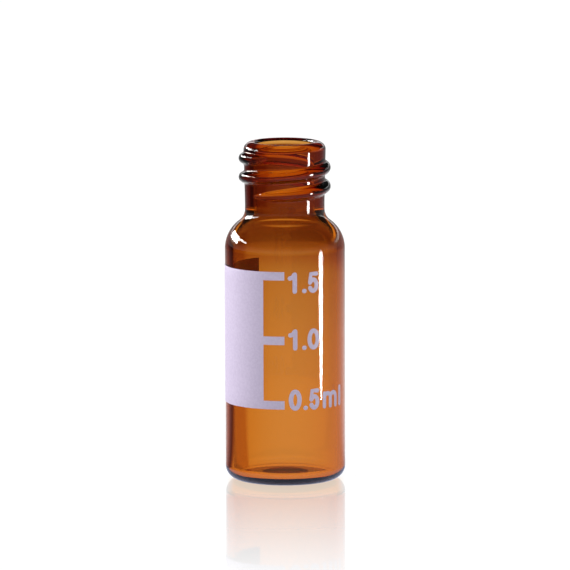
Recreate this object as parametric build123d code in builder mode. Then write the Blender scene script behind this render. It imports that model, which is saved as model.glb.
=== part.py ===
from build123d import *
import os
from math import acos, cos, degrees, pi, radians, sin, sqrt

# Amber glass sample vial of the 2 ml, 12 x 32 mm class with a 9 mm short thread,
# open and without a cap, with a white enamel write-on patch on its side.
# Millimetres, +Z up, the origin at the middle of the underside.
# The front, where the three ticks of the scale show, faces -Y.

# Driving dimensions of the glass
height = 32.6
body_diameter = 11.5
body_wall = 0.75
floor_thickness = 0.8
neck_diameter = 7.62
neck_bore = 5.7
lip_diameter = 7.86
lip_crest_diameter = 6.06
lip_round_height = 0.55
mouth_round_height = 0.35

# Driving dimensions of the foot
heel_radius = 1.5
push_up_diameter = 6.0
push_up_depth = 0.25
floor_corner_radius = 0.7

# Driving dimensions of the shoulder, an outward arc running into an inward one
shoulder_start = 22.3
shoulder_radius = 3.3
neck_blend_radius = 1.4
inner_shoulder_radius = 2.75
inner_blend_radius = 2.6

# Driving dimensions of the screw thread, a round bead of 14 turns to the inch
thread_pitch = 25.4 / 14
thread_diameter = 8.8
bead_radius = 0.55
thread_height_at_x = 28.27
thread_start_angle = -105.0
thread_end_angle = 630.0
run_out_angle = 75.0
run_out_sink = 0.58
points_per_turn = 24

# Driving dimensions of the enamel, printed and fired on the outside of the body
enamel_thickness = 0.03
patch_bottom = 7.56
patch_top = 20.78
patch_width = 13.0
patch_edge_angle = -111.1
tick_end_angle = -90.7
tick_height = 0.81
middle_tick_height = 14.17

# Worked out from the driving dimensions
body_radius = body_diameter / 2
cavity_radius = body_radius - body_wall
neck_radius = neck_diameter / 2
bore_radius = neck_bore / 2
lip_radius = lip_diameter / 2
crest_radius = lip_crest_diameter / 2


def shoulder_turn(wide_radius, narrow_radius, first_radius, second_radius):
    """Degrees that each of two tangent arcs turns, to lead a wall from one radius to another."""
    across = (narrow_radius + second_radius) - (wide_radius - first_radius)
    return degrees(acos(across / (first_radius + second_radius)))


outer_turn = shoulder_turn(body_radius, neck_radius, shoulder_radius, neck_blend_radius)
inner_turn = shoulder_turn(
    cavity_radius, bore_radius, inner_shoulder_radius, inner_blend_radius
)

# One blown piece, turned from a single section: outside up, over the lip, inside down
with BuildPart() as blown_glass:
    with BuildSketch(Plane.XZ):
        with BuildLine():
            hollow = TangentArc(
                (0, push_up_depth), (push_up_diameter / 2, 0), tangent=(1, 0)
            )
            foot = Line(hollow @ 1, (body_radius - heel_radius, 0))
            heel = JernArc(foot @ 1, (1, 0), heel_radius, 90)
            side = Line(heel @ 1, (body_radius, shoulder_start))
            shoulder = JernArc(side @ 1, (0, 1), shoulder_radius, outer_turn)
            blend = JernArc(shoulder @ 1, shoulder % 1, neck_blend_radius, -outer_turn)
            neck_foot = Line(
                blend @ 1, (neck_radius, (blend @ 1).Y + thread_pitch / 2)
            )
            neck = Line(neck_foot @ 1, (lip_radius, height - lip_round_height))
            lip = EllipticalCenterArc(
                (crest_radius, height - lip_round_height),
                lip_radius - crest_radius,
                lip_round_height,
                start_angle=0,
                arc_size=90,
            )
            mouth = EllipticalCenterArc(
                (crest_radius, height - mouth_round_height),
                crest_radius - bore_radius,
                mouth_round_height,
                start_angle=90,
                arc_size=90,
            )
            inner_side_foot = (cavity_radius, floor_thickness + floor_corner_radius)
            inner_corner = JernArc(
                inner_side_foot, (0, -1), floor_corner_radius, -90
            )
            inner_side = Line(inner_side_foot, (cavity_radius, shoulder_start))
            inner_shoulder = JernArc(
                inner_side @ 1, (0, 1), inner_shoulder_radius, inner_turn
            )
            inner_blend = JernArc(
                inner_shoulder @ 1, inner_shoulder % 1, inner_blend_radius, -inner_turn
            )
            bore = Line(inner_blend @ 1, mouth @ 1)
            inside_floor = Line(inner_corner @ 1, (0, floor_thickness))
            axis_line = Line(inside_floor @ 1, hollow @ 0)
        make_face()
    revolve(axis=Axis.Z)


def thread_point(angle):
    """Centre of the thread's bead at an angle from +X, sunk into the neck at both ends."""
    from_start = (angle - thread_start_angle) / run_out_angle
    from_end = (thread_end_angle - angle) / run_out_angle
    rise = min(from_start, from_end, 1.0)
    sink = run_out_sink * (1 + cos(pi * rise)) / 2
    radius = thread_diameter / 2 - bead_radius - sink
    return (
        radius * cos(radians(angle)),
        radius * sin(radians(angle)),
        thread_height_at_x + thread_pitch * angle / 360,
    )


# The screw thread, a bead along a right-hand helix whose ends run out into the neck.
# What would reach the bore is taken off, so that the bore stays smooth.
thread_steps = round((thread_end_angle - thread_start_angle) / 360 * points_per_turn)
thread_angles = [
    thread_start_angle + (thread_end_angle - thread_start_angle) * step / thread_steps
    for step in range(thread_steps + 1)
]
with BuildPart() as thread_bead:
    with BuildLine():
        helix = Spline(*[thread_point(angle) for angle in thread_angles])
    with BuildSketch(Plane(origin=helix @ 0, z_dir=helix % 0)):
        Circle(bead_radius)
    sweep()
    with BuildSketch(Plane.XY.offset(shoulder_start)):
        Circle((bore_radius + neck_radius) / 2)
    extrude(amount=height - shoulder_start, mode=Mode.SUBTRACT)

with BuildPart() as glass_vial:
    add(blown_glass)
    add(thread_bead)

# The enamel: a patch wrapped round the side, and three ticks that run out of its edge
patch_sweep_angle = degrees(patch_width / body_radius)
tick_middles = [
    patch_bottom + tick_height / 2,
    middle_tick_height,
    patch_top - tick_height / 2,
]


def plane_at(angle):
    """Upright plane through the axis whose own x points outwards at an angle from +X."""
    return Plane(
        origin=(0, 0, 0),
        x_dir=(cos(radians(angle)), sin(radians(angle)), 0),
        z_dir=(sin(radians(angle)), -cos(radians(angle)), 0),
    )


with BuildPart() as write_on_patch:
    with BuildSketch(plane_at(patch_edge_angle)):
        with Locations((body_radius, (patch_bottom + patch_top) / 2)):
            Rectangle(
                enamel_thickness,
                patch_top - patch_bottom,
                align=(Align.MIN, Align.CENTER),
            )
    revolve(axis=Axis.Z, revolution_arc=-patch_sweep_angle)
    with BuildSketch(plane_at(tick_end_angle)):
        with Locations(*[(body_radius, middle) for middle in tick_middles]):
            Rectangle(enamel_thickness, tick_height, align=(Align.MIN, Align.CENTER))
    revolve(axis=Axis.Z, revolution_arc=patch_edge_angle - tick_end_angle)

glass_vial.part.label = "glass_vial"
write_on_patch.part.label = "write_on_patch"

os.makedirs("parts", exist_ok=True)
export_step(glass_vial.part, "parts/glass_vial.step")
export_step(write_on_patch.part, "parts/write_on_patch.step")
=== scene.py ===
import logging
from dataclasses import dataclass, field
from enum import Enum
from math import acos, atan2, cos, degrees, hypot, pi, radians, sin, sqrt
from typing import Callable, Iterable, Sequence

import bpy
import numpy as np
from mathutils import Matrix, Vector


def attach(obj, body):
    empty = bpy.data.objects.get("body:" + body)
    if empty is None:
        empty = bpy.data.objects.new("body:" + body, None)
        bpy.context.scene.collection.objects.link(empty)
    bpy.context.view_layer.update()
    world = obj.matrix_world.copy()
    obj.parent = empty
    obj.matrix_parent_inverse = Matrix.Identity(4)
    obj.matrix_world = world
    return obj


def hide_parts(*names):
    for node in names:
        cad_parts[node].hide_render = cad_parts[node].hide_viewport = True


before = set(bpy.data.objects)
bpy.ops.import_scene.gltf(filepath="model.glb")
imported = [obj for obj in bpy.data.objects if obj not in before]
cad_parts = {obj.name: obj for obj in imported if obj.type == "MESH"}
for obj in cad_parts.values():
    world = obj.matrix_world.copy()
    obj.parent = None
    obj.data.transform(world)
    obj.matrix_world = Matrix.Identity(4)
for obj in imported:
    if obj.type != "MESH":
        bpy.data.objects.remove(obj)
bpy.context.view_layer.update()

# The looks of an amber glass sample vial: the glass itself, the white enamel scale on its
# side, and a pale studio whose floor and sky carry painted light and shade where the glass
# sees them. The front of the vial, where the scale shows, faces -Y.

MM = 0.001
PHOTO_SIDE_PX = 570
LOG = logging.getLogger("vial")


class Slot(Enum):
    """The record's material slots."""

    AMBER_GLASS = "amber_glass"
    WHITE_ENAMEL = "white_enamel"


class Operators:
    """Small steps of hand modelling that every piece is made with."""

    @staticmethod
    def select_none() -> None:
        """Leave edit mode and deselect every object."""
        if bpy.context.object is not None and bpy.context.object.mode != "OBJECT":
            bpy.ops.object.mode_set(mode="OBJECT")
        bpy.ops.object.select_all(action="DESELECT")

    @staticmethod
    def activate(piece: bpy.types.Object) -> None:
        """Make one object the only selected and active one.

        Args:
            piece: the object to work on.
        """
        Operators.select_none()
        piece.select_set(True)
        bpy.context.view_layer.objects.active = piece

    @staticmethod
    def apply_place(piece: bpy.types.Object) -> None:
        """Move an object's place, turn and size into its mesh.

        Args:
            piece: the object, which ends at the origin.
        """
        Operators.activate(piece)
        bpy.ops.object.transform_apply(location=True, rotation=True, scale=True)

    @staticmethod
    def apply_modifier(piece: bpy.types.Object, kind: str, **settings: object) -> None:
        """Add a modifier, set it up and apply it at once.

        Args:
            piece: the object that takes the modifier.
            kind: Blender's name for the modifier type.
            **settings: its settings by name.
        """
        Operators.activate(piece)
        modifier = piece.modifiers.new(kind.lower(), kind)
        for name, value in settings.items():
            setattr(modifier, name, value)
        bpy.ops.object.modifier_apply(modifier=modifier.name)

    @staticmethod
    def select_faces(piece: bpy.types.Object, wanted: Callable[[Vector], bool]) -> int:
        """Select the faces of a mesh by the place of their middles, in edit mode.

        Args:
            piece: the mesh object.
            wanted: tells whether a face whose middle is at a point is selected.

        Returns:
            The number of selected faces.
        """
        Operators.activate(piece)
        bpy.ops.object.mode_set(mode="EDIT")
        bpy.ops.mesh.select_mode(type="FACE")
        bpy.ops.mesh.select_all(action="DESELECT")
        bpy.ops.object.mode_set(mode="OBJECT")
        found = 0
        for face in piece.data.polygons:
            face.select = wanted(face.center)
            found += face.select
        bpy.ops.object.mode_set(mode="EDIT")
        return found


@dataclass
class SectionPen:
    """Draws the section of a turned piece in the XZ plane, by extruding and spinning a point."""

    name: str

    def start(self, radius: float, height: float) -> None:
        """Put the pen down.

        Args:
            radius: distance from the axis.
            height: height of the first point.
        """
        Operators.select_none()
        bpy.ops.mesh.primitive_circle_add(
            vertices=3, radius=MM, location=(0, 0, 0), enter_editmode=False
        )
        self.piece = bpy.context.object
        self.piece.name = self.name
        self.piece.data.name = self.name
        bpy.ops.object.mode_set(mode="EDIT")
        bpy.ops.mesh.select_mode(type="VERT")
        bpy.ops.mesh.merge(type="CENTER")
        bpy.ops.transform.translate(value=(radius, 0, height))
        self.radius, self.height = radius, height

    def line(self, radius: float, height: float, steps: int = 1) -> None:
        """Draw a straight run in equal steps.

        Args:
            radius: distance of its end from the axis.
            height: height of its end.
            steps: number of equal edges.
        """
        step = ((radius - self.radius) / steps, 0, (height - self.height) / steps)
        for _ in range(steps):
            bpy.ops.mesh.extrude_vertices_move(TRANSFORM_OT_translate={"value": step})
        self.radius, self.height = radius, height

    def arc(self, radius: float, height: float, turn: float, steps: int) -> None:
        """Spin the point about a centre in the plane.

        Args:
            radius: distance of the arc's centre from the axis.
            height: height of the arc's centre.
            turn: radians, positive from outwards towards up.
            steps: number of edges.
        """
        bpy.ops.mesh.spin(
            steps=steps, angle=turn, center=(radius, 0, height), axis=(0, 1, 0)
        )
        across, up = self.radius - radius, self.height - height
        self.radius = radius + across * cos(turn) - up * sin(turn)
        self.height = height + across * sin(turn) + up * cos(turn)

    def oval(
        self, radius: float, height: float, across: float, up: float,
        first: float, turn: float, steps: int,
    ) -> None:
        """Draw part of an oval through extruded points.

        Args:
            radius: distance of the oval's centre from the axis.
            height: height of the oval's centre.
            across: half its width.
            up: half its height.
            first: radians at which the part starts.
            turn: radians that it covers.
            steps: number of edges.
        """
        for step in range(1, steps + 1):
            angle = first + turn * step / steps
            self.line(radius + across * cos(angle), height + up * sin(angle))

    def spin_whole(self, columns: int) -> bpy.types.Object:
        """Turn the section once round the axis and close it.

        Args:
            columns: number of steps in the full turn.

        Returns:
            The finished closed mesh object.
        """
        bpy.ops.mesh.select_all(action="SELECT")
        bpy.ops.mesh.spin(steps=columns, angle=2 * pi, center=(0, 0, 0), axis=(0, 0, 1))
        bpy.ops.mesh.select_all(action="SELECT")
        bpy.ops.mesh.remove_doubles(threshold=0.002 * MM)
        bpy.ops.mesh.normals_make_consistent(inside=False)
        bpy.ops.object.mode_set(mode="OBJECT")
        bpy.ops.object.shade_smooth()
        return self.piece


@dataclass
class ScrewThread:
    """The round bead of the 9 mm short thread, with small root fillets and two run-outs."""

    pitch: float = 25.4 / 14 * MM
    outer_radius: float = 4.4 * MM
    bead_radius: float = 0.55 * MM
    root_fillet: float = 0.25 * MM
    height_at_x: float = 28.27 * MM
    start_angle: float = -150.0
    end_angle: float = 630.0
    run_out_angle: float = 90.0
    run_out_sink: float = 0.58 * MM
    arc_points: int = 14

    def rise(self, angle: float, neck_radius: float) -> float:
        """How far the bead's centre stands out of the neck at an angle along the thread.

        Args:
            angle: degrees from +X, counted on over the turns.
            neck_radius: the neck's radius there.

        Returns:
            The centre's distance outside the neck's surface, negative when sunk.
        """
        share = min(
            (angle - self.start_angle) / self.run_out_angle,
            (self.end_angle - angle) / self.run_out_angle,
            1.0,
        )
        sink = self.run_out_sink * (1 + cos(pi * share)) / 2
        return self.outer_radius - self.bead_radius - sink - neck_radius

    def bump(self, rise: float) -> list[tuple[float, float]]:
        """The bead's outline, from its lower fillet to its upper one.

        Args:
            rise: distance of the bead's centre outside the neck.

        Returns:
            Points (outwards, up) from the bead's centre height, lowest first.
        """
        bead, fillet = self.bead_radius, self.root_fillet
        if rise + bead <= 0:
            return []
        foot = sqrt(max((bead + fillet) ** 2 - (fillet - rise) ** 2, 0.0))
        lean = atan2(foot, fillet - rise)
        lower = [
            (
                fillet - fillet * cos(lean * step / self.arc_points),
                -foot + fillet * sin(lean * step / self.arc_points),
            )
            for step in range(self.arc_points)
        ]
        middle = [
            (rise + bead * cos(a), bead * sin(a))
            for a in np.linspace(-lean, lean, 3 * self.arc_points)
        ]
        upper = [(x, -z) for x, z in reversed(lower)]
        return lower + middle + upper

    def raise_on(self, piece: bpy.types.Object, low: float, high: float,
                 neck_radius: Callable[[float], float]) -> None:
        """Move the rows of a plain neck so that they run over the bead.

        Each column of the neck is respaced evenly along its own outline.

        Args:
            piece: the mesh that holds the neck's outside.
            low: height of the lowest row, which stays.
            high: height of the highest row, which stays.
            neck_radius: the plain neck's radius at a height.
        """
        columns: dict[int, list[int]] = {}
        slack = 0.001 * MM
        for vertex in piece.data.vertices:
            x, y, z = vertex.co
            outside = hypot(x, y) > neck_radius(z) - 10 * slack
            if outside and low - slack < z < high + slack:
                key = round(degrees(atan2(y, x)) * 100)
                columns.setdefault(key, []).append(vertex.index)
        for rows in columns.values():
            rows.sort(key=lambda i: piece.data.vertices[i].co.z)
            x, y, _ = piece.data.vertices[rows[0]].co
            angle = atan2(y, x)
            outline = self.column_outline(degrees(angle), low, high, neck_radius)
            run = np.concatenate([[0.0], np.cumsum(np.hypot(*np.diff(outline, axis=0).T))])
            even = np.linspace(0.0, run[-1], len(rows))
            for index, out, up in zip(
                rows, np.interp(even, run, outline[:, 0]), np.interp(even, run, outline[:, 1])
            ):
                piece.data.vertices[index].co = (out * cos(angle), out * sin(angle), up)
        piece.data.update()

    def column_outline(self, angle: float, low: float, high: float,
                       neck_radius: Callable[[float], float]) -> np.ndarray:
        """The outline of the neck and its beads at one angle.

        Args:
            angle: degrees from +X, from -180 to 180.
            low: height at which the outline starts.
            high: height at which it ends.
            neck_radius: the plain neck's radius at a height.

        Returns:
            Rows of (radius, height), lowest first.
        """
        outline = [(neck_radius(low), low)]
        along = angle - 360.0
        while along <= self.end_angle:
            if along > self.start_angle:
                centre = self.height_at_x + self.pitch * along / 360.0
                bump = self.bump(self.rise(along, neck_radius(centre)))
                outline += [(neck_radius(centre + up) + out, centre + up) for out, up in bump]
            along += 360.0
        outline.append((neck_radius(high), high))
        return np.array(outline)


@dataclass
class BlownGlass:
    """The whole glass of the vial as one closed, turned shell."""

    height: float = 32.6 * MM
    body_radius: float = 5.75 * MM
    cavity_radius: float = 5.0 * MM
    floor: float = 0.8 * MM
    neck_radius: float = 3.81 * MM
    bore_radius: float = 2.85 * MM
    lip_radius: float = 3.93 * MM
    crest_radius: float = 3.03 * MM
    lip_round: float = 0.75 * MM
    mouth_round: float = 0.45 * MM
    heel: float = 1.3 * MM
    push_up_radius: float = 2.15 * MM
    push_up_depth: float = 0.002 * MM
    floor_corner: float = 0.5 * MM
    hold: float = 0.04 * MM
    shoulder_start: float = 22.3 * MM
    shoulder_arc: float = 3.3 * MM
    blend_arc: float = 1.4 * MM
    inner_shoulder_arc: float = 2.75 * MM
    inner_blend_arc: float = 2.6 * MM
    columns: int = 288
    thread_rows: int = 150
    thread: ScrewThread = field(default_factory=ScrewThread)

    def shoulder(self, wide: float, narrow: float, first: float, second: float) -> float:
        """Turn of each of the two tangent arcs that lead one radius into another.

        Args:
            wide: radius below the shoulder.
            narrow: radius above it.
            first: radius of the outward arc.
            second: radius of the inward arc.

        Returns:
            Radians that each arc turns.
        """
        return acos(((narrow + second) - (wide - first)) / (first + second))

    def neck_outside(self, height: float) -> float:
        """Radius of the plain neck's outside, which widens a little towards the lip."""
        share = (height - self.cone_low) / (self.cone_high - self.cone_low)
        return self.neck_radius + (self.lip_radius - self.neck_radius) * min(max(share, 0.0), 1.0)

    def build(self) -> bpy.types.Object:
        """Turn the section and raise the thread on it.

        Returns:
            The glass as one closed mesh.
        """
        pen = SectionPen("amber_glass_body")
        turn = self.shoulder(
            self.body_radius, self.neck_radius, self.shoulder_arc, self.blend_arc
        )
        dome = (self.push_up_radius ** 2 + self.push_up_depth ** 2) / (2 * self.push_up_depth)
        dome_turn = 2 * atan2(self.push_up_depth, self.push_up_radius)
        pen.start(0.0, self.push_up_depth)
        pen.arc(0.0, self.push_up_depth - dome, -dome_turn, 14)
        pen.line(self.body_radius - self.heel - self.hold, 0.0, 6)
        pen.line(self.body_radius - self.heel, 0.0)
        pen.arc(self.body_radius - self.heel, self.heel, pi / 2, 18)
        pen.line(self.body_radius, self.heel + self.hold)
        pen.line(self.body_radius, self.shoulder_start, 10)
        pen.arc(self.body_radius - self.shoulder_arc, self.shoulder_start, turn, 22)
        blend_height = self.shoulder_start + (self.shoulder_arc + self.blend_arc) * sin(turn)
        pen.arc(self.neck_radius + self.blend_arc, blend_height, -turn, 14)
        self.cone_low = blend_height + self.thread.pitch / 2
        self.cone_high = self.height - self.lip_round
        threads_low = blend_height + 0.5 * MM
        pen.line(self.neck_radius, threads_low, 2)
        pen.line(self.lip_radius, self.cone_high, self.thread_rows)
        pen.oval(
            self.crest_radius, self.cone_high, self.lip_radius - self.crest_radius,
            self.lip_round, 0.0, pi / 2, 14,
        )
        pen.oval(
            self.crest_radius, self.height - self.mouth_round,
            self.crest_radius - self.bore_radius, self.mouth_round, pi / 2, pi / 2, 8,
        )
        inner_turn = self.shoulder(
            self.cavity_radius, self.bore_radius, self.inner_shoulder_arc, self.inner_blend_arc
        )
        reach = (self.inner_shoulder_arc + self.inner_blend_arc) * sin(inner_turn)
        pen.line(self.bore_radius, self.shoulder_start + reach, 6)
        pen.arc(
            self.bore_radius + self.inner_blend_arc, self.shoulder_start + reach, inner_turn, 14
        )
        pen.arc(
            self.cavity_radius - self.inner_shoulder_arc, self.shoulder_start, -inner_turn, 14
        )
        pen.line(self.cavity_radius, self.floor + self.floor_corner + self.hold, 10)
        pen.line(self.cavity_radius, self.floor + self.floor_corner)
        pen.arc(
            self.cavity_radius - self.floor_corner, self.floor + self.floor_corner, -pi / 2, 12
        )
        pen.line(self.cavity_radius - self.floor_corner - self.hold, self.floor)
        pen.line(0.0, self.floor, 8)
        glass = pen.spin_whole(self.columns)
        self.set_cone(glass, threads_low)
        self.thread.raise_on(glass, threads_low, self.cone_high, self.neck_outside)
        return glass

    def set_cone(self, glass: bpy.types.Object, low: float) -> None:
        """Keep the neck straight below its slight cone.

        Args:
            glass: the turned mesh.
            low: height of the lowest row of the thread's band.
        """
        for vertex in glass.data.vertices:
            x, y, z = vertex.co
            radius = hypot(x, y)
            if low < z < self.cone_high and radius > self.neck_radius - 0.01 * MM:
                scale = self.neck_outside(z) / radius
                vertex.co = (x * scale, y * scale, z)


@dataclass
class PrintedScale:
    """The white enamel on the body: the write-on patch, its ticks and the numerals."""

    glass_radius: float = 5.75 * MM
    thickness: float = 0.03 * MM
    bite: float = 0.01 * MM
    bottom: float = 7.56 * MM
    top: float = 20.78 * MM
    patch_width: float = 13.0 * MM
    patch_edge_angle: float = -111.1
    tick_end_angle: float = -90.7
    tick_height: float = 0.81 * MM
    middle_tick: float = 14.17 * MM
    edge_round: float = 0.006 * MM
    column_angle: float = 0.4

    def tick_bands(self) -> list[tuple[float, float]]:
        """Lowest and highest height of each tick, from the bottom up."""
        half = self.tick_height / 2
        return [
            (self.bottom, self.bottom + self.tick_height),
            (self.middle_tick - half, self.middle_tick + half),
            (self.top - self.tick_height, self.top),
        ]

    def build_patch(self) -> bpy.types.Object:
        """Cut the patch and its ticks out of a tube and give them their thickness.

        Returns:
            The enamel patch as one closed mesh.
        """
        Operators.select_none()
        bpy.ops.mesh.primitive_cylinder_add(
            vertices=round(360 / self.column_angle),
            radius=self.glass_radius + self.thickness,
            depth=self.top - self.bottom,
            end_fill_type="NOTHING",
            location=(0, 0, (self.top + self.bottom) / 2),
            rotation=(0, 0, radians(self.tick_end_angle % self.column_angle)),
        )
        patch = bpy.context.object
        patch.name = patch.data.name = "enamel_patch"
        Operators.apply_place(patch)
        bpy.ops.object.mode_set(mode="EDIT")
        for band in self.tick_bands():
            for height in band:
                if self.bottom < height < self.top:
                    bpy.ops.mesh.select_all(action="SELECT")
                    bpy.ops.mesh.bisect(plane_co=(0, 0, height), plane_no=(0, 0, 1))
        hidden_edge = self.patch_edge_angle - degrees(self.patch_width / self.glass_radius)
        bands = self.tick_bands()

        def bare(middle: Vector) -> bool:
            angle = degrees(atan2(middle.y, middle.x))
            back = angle if angle <= self.tick_end_angle else angle - 360.0
            if hidden_edge < back < self.patch_edge_angle:
                return False
            in_tick = any(low < middle.z < high for low, high in bands)
            return not (in_tick and self.patch_edge_angle < back < self.tick_end_angle)

        Operators.select_faces(patch, bare)
        bpy.ops.mesh.delete(type="FACE")
        bpy.ops.mesh.select_all(action="SELECT")
        bpy.ops.mesh.normals_make_consistent(inside=False)
        bpy.ops.object.mode_set(mode="OBJECT")
        self.point_outwards(patch)
        Operators.apply_modifier(
            patch, "SOLIDIFY", thickness=self.thickness + self.bite, offset=-1.0
        )
        Operators.apply_modifier(
            patch, "BEVEL", width=self.edge_round, segments=2, limit_method="ANGLE",
            angle_limit=radians(40),
        )
        Operators.activate(patch)
        bpy.ops.object.shade_smooth_by_angle(angle=radians(35))
        return patch

    def point_outwards(self, patch: bpy.types.Object) -> None:
        """Turn an open skin's faces away from the axis.

        Args:
            patch: the skin, before it has a thickness.
        """
        face = patch.data.polygons[0]
        if face.normal.dot(Vector((face.center.x, face.center.y, 0))) < 0:
            Operators.activate(patch)
            bpy.ops.object.mode_set(mode="EDIT")
            bpy.ops.mesh.select_all(action="SELECT")
            bpy.ops.mesh.flip_normals()
            bpy.ops.object.mode_set(mode="OBJECT")


Stroke = list[tuple[float, float]]


def bow(x: float, y: float, across: float, up: float, first: float, last: float,
        steps: int = 20) -> Stroke:
    """Points along part of an oval.

    Args:
        x: middle of the oval.
        y: middle of the oval.
        across: half its width.
        up: half its height.
        first: degrees at which it starts.
        last: degrees at which it ends.
        steps: number of runs.

    Returns:
        The points in order.
    """
    return [
        (x + across * cos(radians(a)), y + up * sin(radians(a)))
        for a in np.linspace(first, last, steps + 1)
    ]


@dataclass
class Numerals:
    """Pen strokes of the scale's numerals, in millimetres along and up the glass."""

    stroke: float = 0.44
    height: float = 2.06
    voxel: float = 0.022

    @property
    def low(self) -> float:
        """Height of a stroke's middle on the base line."""
        return self.stroke / 2

    @property
    def high(self) -> float:
        """Height of a stroke's middle along the top."""
        return self.height - self.stroke / 2

    def one(self, x: float) -> list[Stroke]:
        """A plain 1 with a flag, its stem's middle at x."""
        return [
            [(x, self.low), (x, self.high)],
            [(x - 0.05, self.high - 0.02), (x - 0.22, self.high - 0.28), (x - 0.46, self.high - 0.36)],
        ]

    def dot(self, x: float) -> list[Stroke]:
        """A full stop at x."""
        return [[(x - 0.02, self.low + 0.02), (x + 0.02, self.low + 0.02)]]

    def zero(self, x: float, width: float) -> list[Stroke]:
        """A narrow 0 with its middle at x."""
        half = (width - self.stroke) / 2
        reach = (self.high - self.low) / 2
        return [bow(x, self.low + reach, half, reach, 0, 360, 40)]

    def five(self, x: float, width: float) -> list[Stroke]:
        """A 5 with its middle at x."""
        half = (width - self.stroke) / 2
        bowl = 0.5 * (self.high - self.low) * 0.66
        return [
            [(x + half * 0.9, self.high), (x - half * 0.72, self.high),
             (x - half * 0.95, self.high - 0.82)],
            [(x - half * 0.95, self.high - 0.82)]
            + bow(x - 0.02, self.low + bowl, half, bowl, 128, -152, 30),
        ]

    def letter_m(self, x: float, width: float, top: float) -> list[Stroke]:
        """An m with its left stem's middle at x."""
        gap = width / 2
        strokes = [[(x, self.low), (x, top)]]
        for side in (0, 1):
            left = x + side * gap
            strokes.append(
                bow(left + gap / 2, top - gap / 2, gap / 2, gap / 2, 170, 0, 12)
                + [(left + gap, self.low)]
            )
        return strokes

    def letter_l(self, x: float) -> list[Stroke]:
        """An l with its middle at x."""
        return [[(x, self.low), (x, self.high)]]

    def build(self, name: str, strokes: Iterable[Stroke], base: float,
              scale: PrintedScale) -> bpy.types.Object:
        """Lay the strokes as ink on the glass.

        Args:
            name: the piece's name.
            strokes: the strokes' middle lines, in millimetres along and up the glass.
            base: height of the base line.
            scale: the print that the numerals belong to.

        Returns:
            The numerals as one closed mesh.
        """
        curve = bpy.data.curves.new(name, "CURVE")
        curve.dimensions = "3D"
        curve.bevel_depth = self.stroke / 2
        curve.bevel_resolution = 4
        curve.use_fill_caps = True
        for stroke in strokes:
            spline = curve.splines.new("POLY")
            closed = hypot(stroke[0][0] - stroke[-1][0], stroke[0][1] - stroke[-1][1]) < 1e-4
            points = stroke[:-1] if closed else stroke
            spline.points.add(len(points) - 1)
            for point, (along, up) in zip(spline.points, points):
                point.co = (along, 0, up, 1)
            spline.use_cyclic_u = closed
        ink = bpy.data.objects.new(name, curve)
        bpy.context.scene.collection.objects.link(ink)
        Operators.activate(ink)
        bpy.ops.object.convert(target="MESH")
        ends = [p for s in strokes for p in (s[0], s[-1])]
        parts = [ink]
        for along, up in ends:
            Operators.select_none()
            bpy.ops.mesh.primitive_uv_sphere_add(
                segments=16, ring_count=10, radius=self.stroke / 2 * 0.99,
                location=(along, 0, up),
            )
            parts.append(bpy.context.object)
        Operators.activate(ink)
        for part in parts:
            part.select_set(True)
        bpy.ops.object.join()
        Operators.apply_modifier(ink, "REMESH", mode="VOXEL", voxel_size=self.voxel)
        Operators.apply_modifier(ink, "SMOOTH", factor=0.5, iterations=6)
        self.wrap(ink, base, scale)
        Operators.activate(ink)
        bpy.ops.object.shade_smooth()
        return ink

    def wrap(self, ink: bpy.types.Object, base: float, scale: PrintedScale) -> None:
        """Flatten round strokes to a thin print and bend it round the glass.

        Args:
            ink: the strokes, in millimetres.
            base: height of the base line, in metres.
            scale: the print whose radius and thickness they take.
        """
        flat = 2 * scale.thickness / self.stroke
        for vertex in ink.data.vertices:
            along, out, up = vertex.co
            radius = scale.glass_radius - out * flat * 0.97
            angle = along * MM / scale.glass_radius
            vertex.co = (radius * sin(angle), -radius * cos(angle), base + up * MM)
        ink.data.update()


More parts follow.
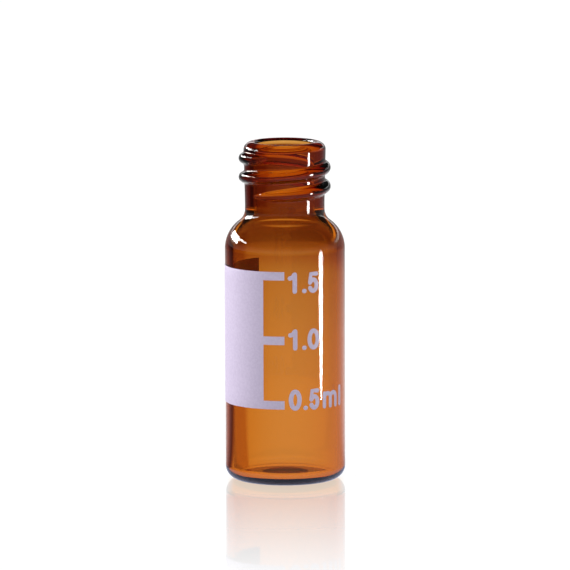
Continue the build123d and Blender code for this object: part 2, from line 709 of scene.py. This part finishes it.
@dataclass(frozen=True)
class SurfaceWaver:
    """A node group that varies a surface: a height for bumps and a mask for its other values."""

    name: str = "surface_waver"
    detail: float = 3.0
    softness: float = 0.5

    def build(self) -> bpy.types.NodeTree:
        """Make the group.

        Returns:
            The group, which takes the size of its grain and puts out a height and a mask.
        """
        group = bpy.data.node_groups.new(self.name, "ShaderNodeTree")
        sockets = group.interface
        sockets.new_socket(name="Place", in_out="INPUT", socket_type="NodeSocketVector")
        sockets.new_socket(name="Grains per Metre", in_out="INPUT", socket_type="NodeSocketFloat")
        sockets.new_socket(name="Amount", in_out="INPUT", socket_type="NodeSocketFloat")
        sockets.new_socket(name="Height", in_out="OUTPUT", socket_type="NodeSocketFloat")
        sockets.new_socket(name="Mask", in_out="OUTPUT", socket_type="NodeSocketFloat")
        given = group.nodes.new("NodeGroupInput")
        grain = group.nodes.new("ShaderNodeTexNoise")
        grain.inputs["Detail"].default_value = self.detail
        grain.inputs["Roughness"].default_value = self.softness
        spread = group.nodes.new("ShaderNodeMapRange")
        spread.interpolation_type = "SMOOTHSTEP"
        spread.inputs["From Min"].default_value = 0.35
        spread.inputs["From Max"].default_value = 0.65
        put_out = group.nodes.new("NodeGroupOutput")
        group.links.new(given.outputs["Place"], grain.inputs["Vector"])
        group.links.new(given.outputs["Grains per Metre"], grain.inputs["Scale"])
        group.links.new(grain.outputs["Fac"], spread.inputs["Value"])
        for value, name in ((grain.outputs["Fac"], "Height"), (spread.outputs["Result"], "Mask")):
            share = group.nodes.new("ShaderNodeMath")
            share.operation = "MULTIPLY"
            group.links.new(value, share.inputs[0])
            group.links.new(given.outputs["Amount"], share.inputs[1])
            group.links.new(share.outputs[0], put_out.inputs[name])
        return group

    @staticmethod
    def place(tree: bpy.types.NodeTree, group: bpy.types.NodeTree, grains: float,
              along: float, smooth_below: float, full_above: float) -> bpy.types.Node:
        """Use the group in a material.

        Args:
            tree: the material's nodes.
            group: the group.
            grains: number of grains in a metre round the piece.
            along: their number along its axis, as a share of that.
            smooth_below: height up to which the surface stays smooth.
            full_above: height from which the effect is whole.

        Returns:
            The group's node.
        """
        where = tree.nodes.new("ShaderNodeTexCoord")
        stretch = tree.nodes.new("ShaderNodeMapping")
        stretch.inputs["Scale"].default_value = (1.0, 1.0, along)
        tree.links.new(where.outputs["Object"], stretch.inputs["Vector"])
        used = tree.nodes.new("ShaderNodeGroup")
        used.node_tree = group
        used.inputs["Grains per Metre"].default_value = grains
        tree.links.new(stretch.outputs["Vector"], used.inputs["Place"])
        height = tree.nodes.new("ShaderNodeSeparateXYZ")
        tree.links.new(where.outputs["Object"], height.inputs[0])
        rise = tree.nodes.new("ShaderNodeMapRange")
        rise.inputs["From Min"].default_value = smooth_below
        rise.inputs["From Max"].default_value = full_above
        tree.links.new(height.outputs["Z"], rise.inputs["Value"])
        tree.links.new(rise.outputs["Result"], used.inputs["Amount"])
        return used

    @staticmethod
    def roughen(tree: bpy.types.NodeTree, used: bpy.types.Node, smooth: float, rough: float,
                depth: float) -> None:
        """Drive a shader's roughness and normal.

        Args:
            tree: the material's nodes.
            used: the group's node.
            smooth: lowest roughness.
            rough: highest roughness.
            depth: height of the bumps in metres.
        """
        shader = tree.nodes["Principled BSDF"]
        level = tree.nodes.new("ShaderNodeMapRange")
        level.inputs["To Min"].default_value = smooth
        level.inputs["To Max"].default_value = rough
        tree.links.new(used.outputs["Mask"], level.inputs["Value"])
        tree.links.new(level.outputs["Result"], shader.inputs["Roughness"])
        bump = tree.nodes.new("ShaderNodeBump")
        bump.inputs["Distance"].default_value = depth
        tree.links.new(used.outputs["Height"], bump.inputs["Height"])
        tree.links.new(bump.outputs["Normal"], shader.inputs["Normal"])


@dataclass(frozen=True)
class AmberGlass:
    """Clear amber borosilicate tube, coloured through its thickness, with faint drawn lines."""

    name: str = "amber_glass_clear"
    tint: tuple[float, float, float] = (1.0, 1.0, 1.0)
    absorbed: tuple[float, float, float] = (0.29, 1.02, 2.55)
    ior: float = 1.51
    smooth: float = 0.002
    rough: float = 0.01
    lines_per_metre: float = 500.0
    line_share: float = 0.02
    line_depth: float = 0.004 * MM
    plain_below: float = 1.5 * MM
    full_above: float = 7 * MM

    def build(self, waver: bpy.types.NodeTree) -> bpy.types.Material:
        """Make the material.

        Args:
            waver: the group that varies the surface.

        Returns:
            Glass that takes its colour from a plain absorption, given per millimetre.
        """
        material = bpy.data.materials.new(self.name)
        material.use_nodes = True
        tree = material.node_tree
        shader = tree.nodes["Principled BSDF"]
        shader.inputs["Base Color"].default_value = (*self.tint, 1.0)
        shader.inputs["IOR"].default_value = self.ior
        shader.inputs["Transmission Weight"].default_value = 1.0
        lines = SurfaceWaver.place(
            tree, waver, self.lines_per_metre, self.line_share, self.plain_below, self.full_above
        )
        SurfaceWaver.roughen(tree, lines, self.smooth, self.rough, self.line_depth)
        strongest = max(self.absorbed)
        volume = tree.nodes.new("ShaderNodeVolumeAbsorption")
        volume.inputs["Color"].default_value = (
            *[1.0 - part / strongest for part in self.absorbed], 1.0
        )
        volume.inputs["Density"].default_value = strongest / MM
        tree.links.new(volume.outputs["Volume"], tree.nodes["Material Output"].inputs["Volume"])
        return material


@dataclass(frozen=True)
class WhiteEnamel:
    """Fired white ceramic ink, matt and a little cool, with the grain of its screen print."""

    name: str = "white_enamel_print"
    colour: tuple[float, float, float] = (0.80, 0.69, 0.90)
    thin_colour: tuple[float, float, float] = (0.75, 0.64, 0.85)
    smooth: float = 0.48
    rough: float = 0.62
    grains_per_metre: float = 4500.0
    grain_depth: float = 0.004 * MM

    def build(self, waver: bpy.types.NodeTree) -> bpy.types.Material:
        """Make the material.

        Args:
            waver: the group that varies the surface.

        Returns:
            The enamel.
        """
        material = bpy.data.materials.new(self.name)
        material.use_nodes = True
        tree = material.node_tree
        grain = SurfaceWaver.place(tree, waver, self.grains_per_metre, 1.0, 0.0, MM)
        SurfaceWaver.roughen(tree, grain, self.smooth, self.rough, self.grain_depth)
        ink = tree.nodes.new("ShaderNodeMix")
        ink.data_type = "RGBA"
        tree.links.new(grain.outputs["Mask"], ink.inputs["Factor"])
        ink.inputs["A"].default_value = (*self.colour, 1.0)
        ink.inputs["B"].default_value = (*self.thin_colour, 1.0)
        tree.links.new(ink.outputs["Result"], tree.nodes["Principled BSDF"].inputs["Base Color"])
        return material


@dataclass
class Studio:
    """Pale floor, soft lamps and a camera at the photograph's angle; the floor and sky that the glass
    sees carry painted light and shade.
    """

    camera_distance: float = 594.8 * MM
    camera_elevation: float = 8.2
    camera_roll: float = 0.175
    target_height: float = 18.717 * MM
    focal_px: float = 6202.0
    sensor_mm: float = 36.0
    floor_side: float = 6.0
    floor_own_share: float = 0.85
    gloss_full: float = 12 * MM
    gloss_end: float = 62 * MM
    gloss_most: float = 1.3
    gloss_front: float = 1.0 * MM
    gloss_whole: float = -1.0 * MM
    foot_end: float = 8.5 * MM
    foot_fade: float = 12 * MM
    foot_gloss: float = 0.55
    # Painted amber glow on the floor just in front of the foot, in the floor's own light that the
    # camera sees.
    painted_glow_half: float = 4.8 * MM
    painted_glow_end: float = 5.8 * MM
    painted_glow_tint: tuple[float, float, float] = (1.0, 0.82, 0.66)
    floor_ior: float = 1.55
    # Painted falloff: the floor as the glass sees it grows darker and warmer away from the vial, like
    # the edge of a pool of light.
    painted_falloff_full: float = 60 * MM
    painted_falloff_end: float = 215 * MM
    painted_falloff_least: float = 0.28
    painted_falloff_reach: float = 300 * MM
    painted_falloff_colours: tuple[tuple[float, tuple[float, float, float]], ...] = (
        (50, (1, 1, 1)), (62, (0.95, 0.95, 0.95)), (90, (0.9, 0.9, 0.9)),
        (112, (0.82, 0.82, 0.82)), (130, (0.78, 0.75, 0.72)), (143, (0.72, 0.7, 0.66)),
        (159, (0.58, 0.43, 0.36)), (172, (0.46, 0.31, 0.25)), (190, (0.38, 0.23, 0.18)),
        (216, (0.28, 0.16, 0.12)), (290, (0.25, 0.13, 0.1)),
    )
    # Painted warm tint of the sky seen straight through the glass, with no reflection on the way.
    painted_warm_tint: tuple[float, float, float] = (1.0, 0.52, 0.4)
    # Under the foot, the floor as the glass sees it has a painted shadow disc at the centre and a
    # slightly brighter painted ring round it.
    painted_shadow_disc_radius: float = 2.1 * MM
    painted_shadow_disc_end: float = 2.3 * MM
    painted_shadow_disc_level: float = 0.2
    painted_ring_end: float = 3.6 * MM
    painted_ring_fade_end: float = 4.6 * MM
    painted_ring_level: float = 1.1
    floor_drop: float = 0.02 * MM
    # Painted reflection: near the foot, the floor shows the glass's reflections a darker bluish grey.
    painted_near_reflection: tuple[float, float, float] = (0.55, 0.58, 0.8)
    painted_near_end: float = 7.5 * MM
    painted_near_fade: float = 12 * MM
    # Painted amber shadow: a wedge of amber-tinted shade on the floor behind and left of the vial,
    # seen through the glass, by direction round a point beside the axis.
    painted_shadow_x: float = -3.3 * MM
    painted_shadow_round: tuple[tuple[float, tuple[float, float, float]], ...] = (
        (-180, (1, 1, 1)), (-62, (1, 1, 1)), (-54, (0.5, 0.33, 0.18)), (-46, (0.16, 0.07, 0.02)),
        (-34, (0.25, 0.12, 0.04)), (-24, (0.68, 0.46, 0.25)), (-9.5, (0.72, 0.5, 0.3)),
        (-7.5, (1, 1, 1)), (180, (1, 1, 1)),
    )
    # Painted reflections: how bright the floor looks in the glass's reflections, by direction round
    # the vial.
    painted_reflection_round: tuple[tuple[float, tuple[float, float, float]], ...] = (
        (-180, (0.33, 0.33, 0.35)), (-120, (0.08, 0.08, 0.08)), (-60, (0.08, 0.08, 0.08)),
        (-38, (0.42, 0.42, 0.44)), (-15, (1, 1, 1)), (32, (1.0, 1.0, 1.0)),
        (44, (0.85, 0.85, 0.9)), (65, (0.42, 0.42, 0.45)), (120, (0.4, 0.4, 0.42)),
        (180, (0.33, 0.33, 0.35)),
    )
    sky_white_below: float = 0.0
    sky_dark_above: float = 0.35
    sky_bright: float = 0.27
    sky_dark: float = 0.02
    backdrop_half: float = 0.8
    backdrop_end: float = 0.95
    horizon_low: float = 0.12
    horizon_white: float = 0.14
    # Painted dark band in the sky for reflected rays that crossed the glass three or more times; it
    # darkens a disc in the foot.
    painted_dark_band_low: float = 0.15
    painted_dark_band_high: float = 0.1731
    painted_dark_band_edge: float = 0.0003
    horizon_level: float = 1.3
    horizon_full: float = 0.2
    horizon_end: float = 0.24
    sky_diffuse: float = 0.58

    def build_camera(self) -> None:
        """Stand the camera where the photograph was taken from."""
        camera = bpy.data.cameras.new("photo_camera")
        camera.sensor_width = self.sensor_mm
        camera.lens = self.focal_px * self.sensor_mm / PHOTO_SIDE_PX
        camera.clip_start, camera.clip_end = 0.01, 50.0
        eye = bpy.data.objects.new("photo_camera", camera)
        bpy.context.scene.collection.objects.link(eye)
        tilt = radians(self.camera_elevation)
        eye.location = (
            0.0,
            -self.camera_distance * cos(tilt),
            self.target_height + self.camera_distance * sin(tilt),
        )
        look = Matrix.Rotation(pi / 2 - tilt, 4, "X") @ Matrix.Rotation(
            radians(-self.camera_roll), 4, "Z"
        )
        eye.rotation_euler = look.to_euler()
        bpy.context.scene.camera = eye

    @staticmethod
    def fade(tree: bpy.types.NodeTree, value: bpy.types.NodeSocket, low: float, high: float,
             at_low: float, at_high: float) -> bpy.types.NodeSocket:
        """Ease a number over from one level to another.

        Args:
            tree: the nodes to add to.
            value: the number that decides.
            low: its value where the fade begins.
            high: its value where the fade ends.
            at_low: level up to low.
            at_high: level from high on.

        Returns:
            The socket that carries the level.
        """
        node = tree.nodes.new("ShaderNodeMapRange")
        node.interpolation_type = "SMOOTHSTEP"
        tree.links.new(value, node.inputs["Value"])
        node.inputs["From Min"].default_value = low
        node.inputs["From Max"].default_value = high
        node.inputs["To Min"].default_value = at_low
        node.inputs["To Max"].default_value = at_high
        return node.outputs["Result"]

    @staticmethod
    def ramp(tree: bpy.types.NodeTree, share: bpy.types.NodeSocket,
             stops: Sequence[tuple[float, tuple[float, float, float]]]) -> bpy.types.NodeSocket:
        """Blend colours along a share.

        Args:
            tree: the nodes to add to.
            share: the share, from 0 to 1.
            stops: the shares at which a colour is reached, and the colour there.

        Returns:
            The socket that carries the colour.
        """
        node = tree.nodes.new("ShaderNodeValToRGB")
        tree.links.new(share, node.inputs["Fac"])
        bar = node.color_ramp.elements
        while len(bar) < len(stops):
            bar.new(0.5)
        for stop, (position, colour) in zip(bar, stops):
            stop.position = position
            stop.color = (*colour, 1.0)
        return node.outputs["Color"]

    @staticmethod
    def blend(tree: bpy.types.NodeTree, share: bpy.types.NodeSocket,
              first: bpy.types.NodeSocket, second: bpy.types.NodeSocket,
              kind: str = "MIX") -> bpy.types.NodeSocket:
        """Mix two colours in a node tree.

        Args:
            tree: the nodes to add to.
            share: share of the second colour, or None for all of it.
            first: the first colour.
            second: the second colour.
            kind: Blender's name for the way of mixing.

        Returns:
            The socket that carries the mixed colour.
        """
        node = tree.nodes.new("ShaderNodeMix")
        node.data_type = "RGBA"
        node.blend_type = kind
        if share is None:
            node.inputs["Factor"].default_value = 1.0
        else:
            tree.links.new(share, node.inputs["Factor"])
        tree.links.new(first, node.inputs["A"])
        tree.links.new(second, node.inputs["B"])
        return node.outputs["Result"]

    @staticmethod
    def times(tree: bpy.types.NodeTree, first: bpy.types.NodeSocket,
              second: bpy.types.NodeSocket) -> bpy.types.NodeSocket:
        """Multiply two numbers in a node tree."""
        node = tree.nodes.new("ShaderNodeMath")
        node.operation = "MULTIPLY"
        tree.links.new(first, node.inputs[0])
        tree.links.new(second, node.inputs[1])
        return node.outputs[0]

    def build_floor(self) -> None:
        """Lay the pale floor: matt white under a gloss that fades away from the vial's foot, with a
        painted amber glow just in front of the foot. To glossy and transmission rays, such as
        those through or off the glass, it is instead an emission with painted light and shade:
        a painted shadow disc and a brighter painted ring under the foot, a painted amber shadow
        wedge, a painted falloff with distance and painted darker reflections.
        """
        Operators.select_none()
        bpy.ops.mesh.primitive_plane_add(size=self.floor_side, location=(0, 0, -self.floor_drop))
        floor = bpy.context.object
        floor.name = "studio_floor"
        material = bpy.data.materials.new("studio_floor")
        material.use_nodes = True
        tree = material.node_tree
        tree.nodes.remove(tree.nodes["Principled BSDF"])
        place = tree.nodes.new("ShaderNodeTexCoord")
        distance = tree.nodes.new("ShaderNodeVectorMath")
        distance.operation = "LENGTH"
        tree.links.new(place.outputs["Object"], distance.inputs[0])
        gloss = tree.nodes.new("ShaderNodeMapRange")
        gloss.inputs["From Min"].default_value = self.gloss_full
        gloss.inputs["From Max"].default_value = self.gloss_end
        gloss.inputs["To Min"].default_value = self.gloss_most
        gloss.inputs["To Max"].default_value = 0.0
        tree.links.new(distance.outputs["Value"], gloss.inputs["Value"])
        sides = tree.nodes.new("ShaderNodeSeparateXYZ")
        tree.links.new(place.outputs["Object"], sides.inputs[0])
        before = self.fade(tree, sides.outputs["Y"], self.gloss_whole, self.gloss_front, 1.0, 0.0)
        matt = tree.nodes.new("ShaderNodeBsdfDiffuse")
        matt.inputs["Color"].default_value = (0.92, 0.92, 0.92, 1)
        own = tree.nodes.new("ShaderNodeEmission")
        own.inputs["Strength"].default_value = 1.12
        base = tree.nodes.new("ShaderNodeMixShader")
        base.inputs["Fac"].default_value = 0.55
        path = tree.nodes.new("ShaderNodeLightPath")
        camera_share = tree.nodes.new("ShaderNodeMath")
        camera_share.operation = "MULTIPLY"
        camera_share.inputs[1].default_value = self.floor_own_share
        tree.links.new(path.outputs["Is Camera Ray"], camera_share.inputs[0])
        tree.links.new(camera_share.outputs[0], base.inputs["Fac"])
        tree.links.new(matt.outputs[0], base.inputs[1])
        tree.links.new(own.outputs[0], base.inputs[2])
        mirror = tree.nodes.new("ShaderNodeBsdfGlossy")
        mirror.inputs["Roughness"].default_value = 0.02
        grazing = tree.nodes.new("ShaderNodeFresnel")
        grazing.inputs["IOR"].default_value = self.floor_ior
        polished = tree.nodes.new("ShaderNodeMixShader")
        foot = self.fade(tree, distance.outputs["Value"], self.foot_end, self.foot_fade,
                         self.foot_gloss, 1.0)
        shine = self.times(tree, self.times(tree, gloss.outputs["Result"], before), foot)
        tree.links.new(
            self.times(tree, shine, grazing.outputs[0]), polished.inputs["Fac"]
        )
        # Painted amber glow: the floor's own light is tinted amber close in front of the foot.
        painted_glow = self.fade(tree, distance.outputs["Value"], self.foot_end, self.foot_fade, 1.0, 0.0)
        aside = tree.nodes.new("ShaderNodeMath")
        aside.operation = "ABSOLUTE"
        tree.links.new(sides.outputs["X"], aside.inputs[0])
        painted_glow = self.times(
            tree, painted_glow, self.fade(tree, aside.outputs[0], self.painted_glow_half, self.painted_glow_end, 1.0, 0.0)
        )
        amber, pale = tree.nodes.new("ShaderNodeRGB"), tree.nodes.new("ShaderNodeRGB")
        amber.outputs[0].default_value = (*self.painted_glow_tint, 1.0)
        pale.outputs[0].default_value = (1, 1, 1, 1)
        painted_glow_colour = self.blend(
            tree, self.times(tree, painted_glow, before), pale.outputs[0], amber.outputs[0]
        )
        tree.links.new(painted_glow_colour, own.inputs["Color"])
        tree.links.new(base.outputs[0], polished.inputs[1])
        tree.links.new(mirror.outputs[0], polished.inputs[2])
        # To glossy and transmission rays, the floor is an emission that carries painted light and
        # shade in place of its real shading.
        through = tree.nodes.new("ShaderNodeMath")
        through.operation = "MAXIMUM"
        tree.links.new(path.outputs["Is Transmission Ray"], through.inputs[0])
        tree.links.new(path.outputs["Is Glossy Ray"], through.inputs[1])
        # Painted falloff of the reflected floor's brightness with distance from the vial.
        painted_far_dimming = self.fade(tree, distance.outputs["Value"], self.painted_falloff_full, self.painted_falloff_end,
                        1.0, self.painted_falloff_least)
        # Painted shade under the foot: a brighter painted ring and a dark painted shadow disc at the
        # centre.
        painted_ring = self.fade(tree, distance.outputs["Value"], self.painted_ring_end, self.painted_ring_fade_end,
                        self.painted_ring_level, 1.0)
        painted_shadow_disc = self.fade(tree, distance.outputs["Value"], self.painted_shadow_disc_radius, self.painted_shadow_disc_end,
                        self.painted_shadow_disc_level, 1.0)
        painted_under_foot = self.times(tree, painted_ring, painted_shadow_disc)
        # Painted amber shadow wedge, by direction round a point beside the vial.
        beside = tree.nodes.new("ShaderNodeVectorMath")
        beside.operation = "SUBTRACT"
        beside.inputs[1].default_value = (self.painted_shadow_x, 0, 0)
        tree.links.new(place.outputs["Object"], beside.inputs[0])
        straight = tree.nodes.new("ShaderNodeSeparateXYZ")
        tree.links.new(beside.outputs[0], straight.inputs[0])
        angle = tree.nodes.new("ShaderNodeMath")
        angle.operation = "ARCTAN2"
        tree.links.new(straight.outputs["X"], angle.inputs[0])
        tree.links.new(straight.outputs["Y"], angle.inputs[1])
        share = tree.nodes.new("ShaderNodeMath")
        share.operation = "MULTIPLY_ADD"
        tree.links.new(angle.outputs[0], share.inputs[0])
        share.inputs[1].default_value = 1 / (2 * pi)
        share.inputs[2].default_value = 0.5
        painted_shadow_stops = [(angle / 360 + 0.5, colour) for angle, colour in self.painted_shadow_round]
        painted_amber_shadow = self.ramp(tree, share.outputs[0], painted_shadow_stops)
        # Painted reflection brightness, by direction round the vial.
        painted_reflection_stops = [(angle / 360 + 0.5, colour) for angle, colour in self.painted_reflection_round]
        painted_reflection = self.ramp(tree, share.outputs[0], painted_reflection_stops)
        # Painted falloff: the floor seen through the glass is darker and warmer further from the vial.
        reach = tree.nodes.new("ShaderNodeMath")
        reach.operation = "DIVIDE"
        tree.links.new(distance.outputs["Value"], reach.inputs[0])
        reach.inputs[1].default_value = self.painted_falloff_reach
        painted_falloff_stops = [(span * MM / self.painted_falloff_reach, colour) for span, colour in self.painted_falloff_colours]
        painted_falloff = self.ramp(tree, reach.outputs[0], painted_falloff_stops)
        painted_floor_in_glass = self.blend(tree, None, painted_amber_shadow, painted_falloff, "MULTIPLY")
        # Painted bluish-grey reflection of the floor near the foot; the colour node below holds it.
        painted_near = self.fade(tree, distance.outputs["Value"], self.painted_near_end, self.painted_near_fade, 1.0, 0.0)
        white = tree.nodes.new("ShaderNodeRGB")
        white.outputs[0].default_value = (*self.painted_near_reflection, 1)
        painted_reflection_far = tree.nodes.new("ShaderNodeVectorMath")
        painted_reflection_far.operation = "SCALE"
        tree.links.new(painted_reflection, painted_reflection_far.inputs[0])
        tree.links.new(painted_far_dimming, painted_reflection_far.inputs["Scale"])
        painted_near_mix = self.blend(tree, painted_near, painted_reflection_far.outputs[0], white.outputs[0])
        mirrored = self.blend(tree, path.outputs["Is Reflection Ray"], painted_floor_in_glass, painted_near_mix)
        seen = tree.nodes.new("ShaderNodeEmission")
        tree.links.new(mirrored, seen.inputs["Color"])
        tree.links.new(painted_under_foot, seen.inputs["Strength"])
        out = tree.nodes.new("ShaderNodeMixShader")
        tree.links.new(through.outputs[0], out.inputs["Fac"])
        tree.links.new(polished.outputs[0], out.inputs[1])
        tree.links.new(seen.outputs[0], out.inputs[2])
        tree.links.new(out.outputs[0], tree.nodes["Material Output"].inputs["Surface"])
        floor.data.materials.append(material)

    def build_lamp(self, name: str, azimuth: float, elevation: float, distance: float,
                   width: float, height: float, power: float, shape: str = "RECTANGLE",
                   lift: float = 0.0, spread: float = 180.0, shine: bool = True) -> None:
        """Hang a soft lamp that faces the vial.

        Args:
            name: the lamp's name.
            azimuth: degrees from the camera's side towards +X.
            elevation: degrees above the floor.
            distance: distance from the vial's axis.
            width: width of the lamp.
            height: height of the lamp.
            power: watts.
            shape: Blender's name for its outline.
            lift: extra height of its middle.
            spread: degrees over which it shines.
            shine: whether it is seen as a highlight, or else lights the matt surfaces.
        """
        lamp = bpy.data.lights.new(name, "AREA")
        lamp.shape = shape
        lamp.size, lamp.size_y = width, height
        lamp.energy = power
        lamp.spread = radians(spread)
        place = bpy.data.objects.new(name, lamp)
        place.visible_camera = False
        place.visible_transmission = False
        place.visible_glossy = shine
        place.visible_diffuse = not shine
        bpy.context.scene.collection.objects.link(place)
        turn, tilt = radians(azimuth), radians(elevation)
        out = Vector((sin(turn) * cos(tilt), -cos(turn) * cos(tilt), sin(tilt)))
        place.location = out * distance + Vector((0, 0, lift))
        place.rotation_mode = "QUATERNION"
        place.rotation_quaternion = out.to_track_quat("Z", "Y")

    def build_world(self) -> None:
        """White behind the vial for the camera, and a white horizon under a dark ceiling in it.
        For reflected rays that crossed the glass three or more times it is a bright sky with a
        painted dark band, which paints a dark disc into the foot; rays through the glass with no
        reflection see the dim sky in a painted warm tint.
        """
        world = bpy.data.worlds.new("studio_world")
        bpy.context.scene.world = world
        world.use_nodes = True
        tree = world.node_tree
        room = tree.nodes["Background"]
        room.inputs["Color"].default_value = (0.96, 0.98, 1.0, 1)
        room.inputs["Strength"].default_value = self.sky_diffuse
        path = tree.nodes.new("ShaderNodeLightPath")
        direction = tree.nodes.new("ShaderNodeTexCoord")
        parts = tree.nodes.new("ShaderNodeSeparateXYZ")
        tree.links.new(direction.outputs["Generated"], parts.inputs[0])
        height = parts.outputs["Z"]
        dim = self.fade(tree, height, self.sky_white_below, self.sky_dark_above,
                        self.sky_bright, self.sky_dark)
        rise = self.fade(tree, height, self.horizon_low, self.horizon_white, self.sky_dark,
                         self.horizon_level)
        drop = self.fade(tree, height, self.horizon_full, self.horizon_end, 1.0, self.sky_dark)
        pale = self.times(tree, rise, drop)
        # Painted dark band for rays that crossed the glass three or more times.
        below = self.fade(tree, height, self.painted_dark_band_low, self.painted_dark_band_low + self.painted_dark_band_edge,
                          self.horizon_level, self.sky_dark)
        above = self.fade(tree, height, self.painted_dark_band_high, self.painted_dark_band_high + self.painted_dark_band_edge,
                          self.sky_dark, self.horizon_level)
        painted_dark_band = tree.nodes.new("ShaderNodeMath")
        painted_dark_band.operation = "MAXIMUM"
        tree.links.new(below, painted_dark_band.inputs[0])
        tree.links.new(above, painted_dark_band.inputs[1])
        across = tree.nodes.new("ShaderNodeMath")
        across.operation = "ABSOLUTE"
        tree.links.new(parts.outputs["X"], across.inputs[0])
        ahead = self.fade(tree, across.outputs[0], self.backdrop_half, self.backdrop_end, 1.0, 0.0)
        behind = self.fade(tree, parts.outputs["Y"], 0.0, 0.2, 0.0, 1.0)
        pale = self.times(tree, pale, self.times(tree, ahead, behind))
        brighter = tree.nodes.new("ShaderNodeMath")
        brighter.operation = "MAXIMUM"
        tree.links.new(pale, brighter.inputs[0])
        tree.links.new(dim, brighter.inputs[1])
        crossed = self.fade(tree, path.outputs["Transmission Depth"], 2.5, 3.5, 0.0, 1.0)
        through_glass = tree.nodes.new("ShaderNodeMix")
        tree.links.new(crossed, through_glass.inputs["Factor"])
        tree.links.new(brighter.outputs[0], through_glass.inputs["A"])
        tree.links.new(painted_dark_band.outputs[0], through_glass.inputs["B"])
        pale = through_glass.outputs["Result"]
        by_mirror = tree.nodes.new("ShaderNodeMath")
        by_mirror.operation = "MINIMUM"
        tree.links.new(path.outputs["Glossy Depth"], by_mirror.inputs[0])
        by_mirror.inputs[1].default_value = 1.0
        mirrored = by_mirror.outputs[0]
        level = tree.nodes.new("ShaderNodeMix")
        tree.links.new(mirrored, level.inputs["Factor"])
        tree.links.new(dim, level.inputs["A"])
        tree.links.new(pale, level.inputs["B"])
        # Painted warm tint for rays seen through the glass without a reflection.
        painted_warm, plain = tree.nodes.new("ShaderNodeRGB"), tree.nodes.new("ShaderNodeRGB")
        painted_warm.outputs[0].default_value = (*self.painted_warm_tint, 1.0)
        plain.outputs[0].default_value = (1, 1, 1, 1)
        tint = self.blend(tree, mirrored, painted_warm.outputs[0], plain.outputs[0])
        through = tree.nodes.new("ShaderNodeMath")
        through.operation = "MAXIMUM"
        tree.links.new(path.outputs["Is Transmission Ray"], through.inputs[0])
        tree.links.new(path.outputs["Is Glossy Ray"], through.inputs[1])
        horizon = tree.nodes.new("ShaderNodeBackground")
        tree.links.new(tint, horizon.inputs["Color"])
        tree.links.new(level.outputs["Result"], horizon.inputs["Strength"])
        seen = tree.nodes.new("ShaderNodeMixShader")
        tree.links.new(through.outputs[0], seen.inputs["Fac"])
        tree.links.new(room.outputs[0], seen.inputs[1])
        tree.links.new(horizon.outputs[0], seen.inputs[2])
        white = tree.nodes.new("ShaderNodeBackground")
        white.inputs["Color"].default_value = (1, 1, 1, 1)
        out = tree.nodes.new("ShaderNodeMixShader")
        tree.links.new(path.outputs["Is Camera Ray"], out.inputs["Fac"])
        tree.links.new(seen.outputs[0], out.inputs[1])
        tree.links.new(white.outputs[0], out.inputs[2])
        tree.links.new(out.outputs[0], tree.nodes["World Output"].inputs["Surface"])

    def build(self) -> None:
        """Make the whole studio."""
        self.build_camera()
        self.build_floor()
        self.build_lamp(
            "side_strip", 70.5, -12.0, 60 * MM, 3 * MM, 26 * MM, 0.0004, "ELLIPSE", 24.5 * MM, 36.0
        )
        self.build_lamp(
            "side_strip_glow", 70.0, -12.0, 60 * MM, 10 * MM, 28 * MM, 0.0006, "ELLIPSE",
            25.5 * MM, 36.0,
        )
        self.build_lamp("window_low", -125.0, 21.0, 200 * MM, 120 * MM, 30 * MM, 0.2)
        self.build_lamp("window_high", -108.0, 27.0, 200 * MM, 170 * MM, 14 * MM, 0.12)
        self.build_lamp("left_fill", -110.0, 12.0, 300 * MM, 150 * MM, 150 * MM, 0.55, shine=False)
        self.build_world()
        bpy.context.scene.view_settings.view_transform = "Standard"


def hand_over(piece: bpy.types.Object, material: bpy.types.Material) -> None:
    """Dress a finished piece and put it on the vial.

    Args:
        piece: the finished mesh object.
        material: its finish.
    """
    piece.data.materials.clear()
    piece.data.materials.append(material)
    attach(piece, "root")
    triangles = sum(len(face.vertices) - 2 for face in piece.data.polygons)
    LOG.info("%s: %d triangles, %s", piece.name, triangles, material.name)


def main() -> None:
    """Build the studio and the vial's pieces in order."""
    logging.basicConfig(level=logging.INFO, format="%(name)s %(message)s")
    Studio().build()
    waver = SurfaceWaver().build()
    amber, enamel = AmberGlass().build(waver), WhiteEnamel().build(waver)
    glass = BlownGlass().build()
    hand_over(glass, amber)
    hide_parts("glass_vial")
    scale = PrintedScale()
    patch = scale.build_patch()
    hand_over(patch, enamel)
    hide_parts("write_on_patch")
    pen = Numerals()
    rows = {
        "numerals_1_5": (pen.one(0.93) + pen.dot(1.87) + pen.five(2.80, 1.16), 18.68 * MM),
        "numerals_1_0": (pen.one(0.96) + pen.dot(1.86) + pen.zero(2.82, 1.30), 13.22 * MM),
        "numerals_0_5_ml": (
            pen.zero(0.95, 1.26) + pen.dot(1.97) + pen.five(2.90, 1.14)
            + pen.letter_m(4.06, 1.60, 1.45) + pen.letter_l(6.43),
            7.42 * MM,
        ),
    }
    for name, (strokes, base) in rows.items():
        hand_over(pen.build(name, strokes, base, scale), enamel)


if __name__ == "__main__":
    main()
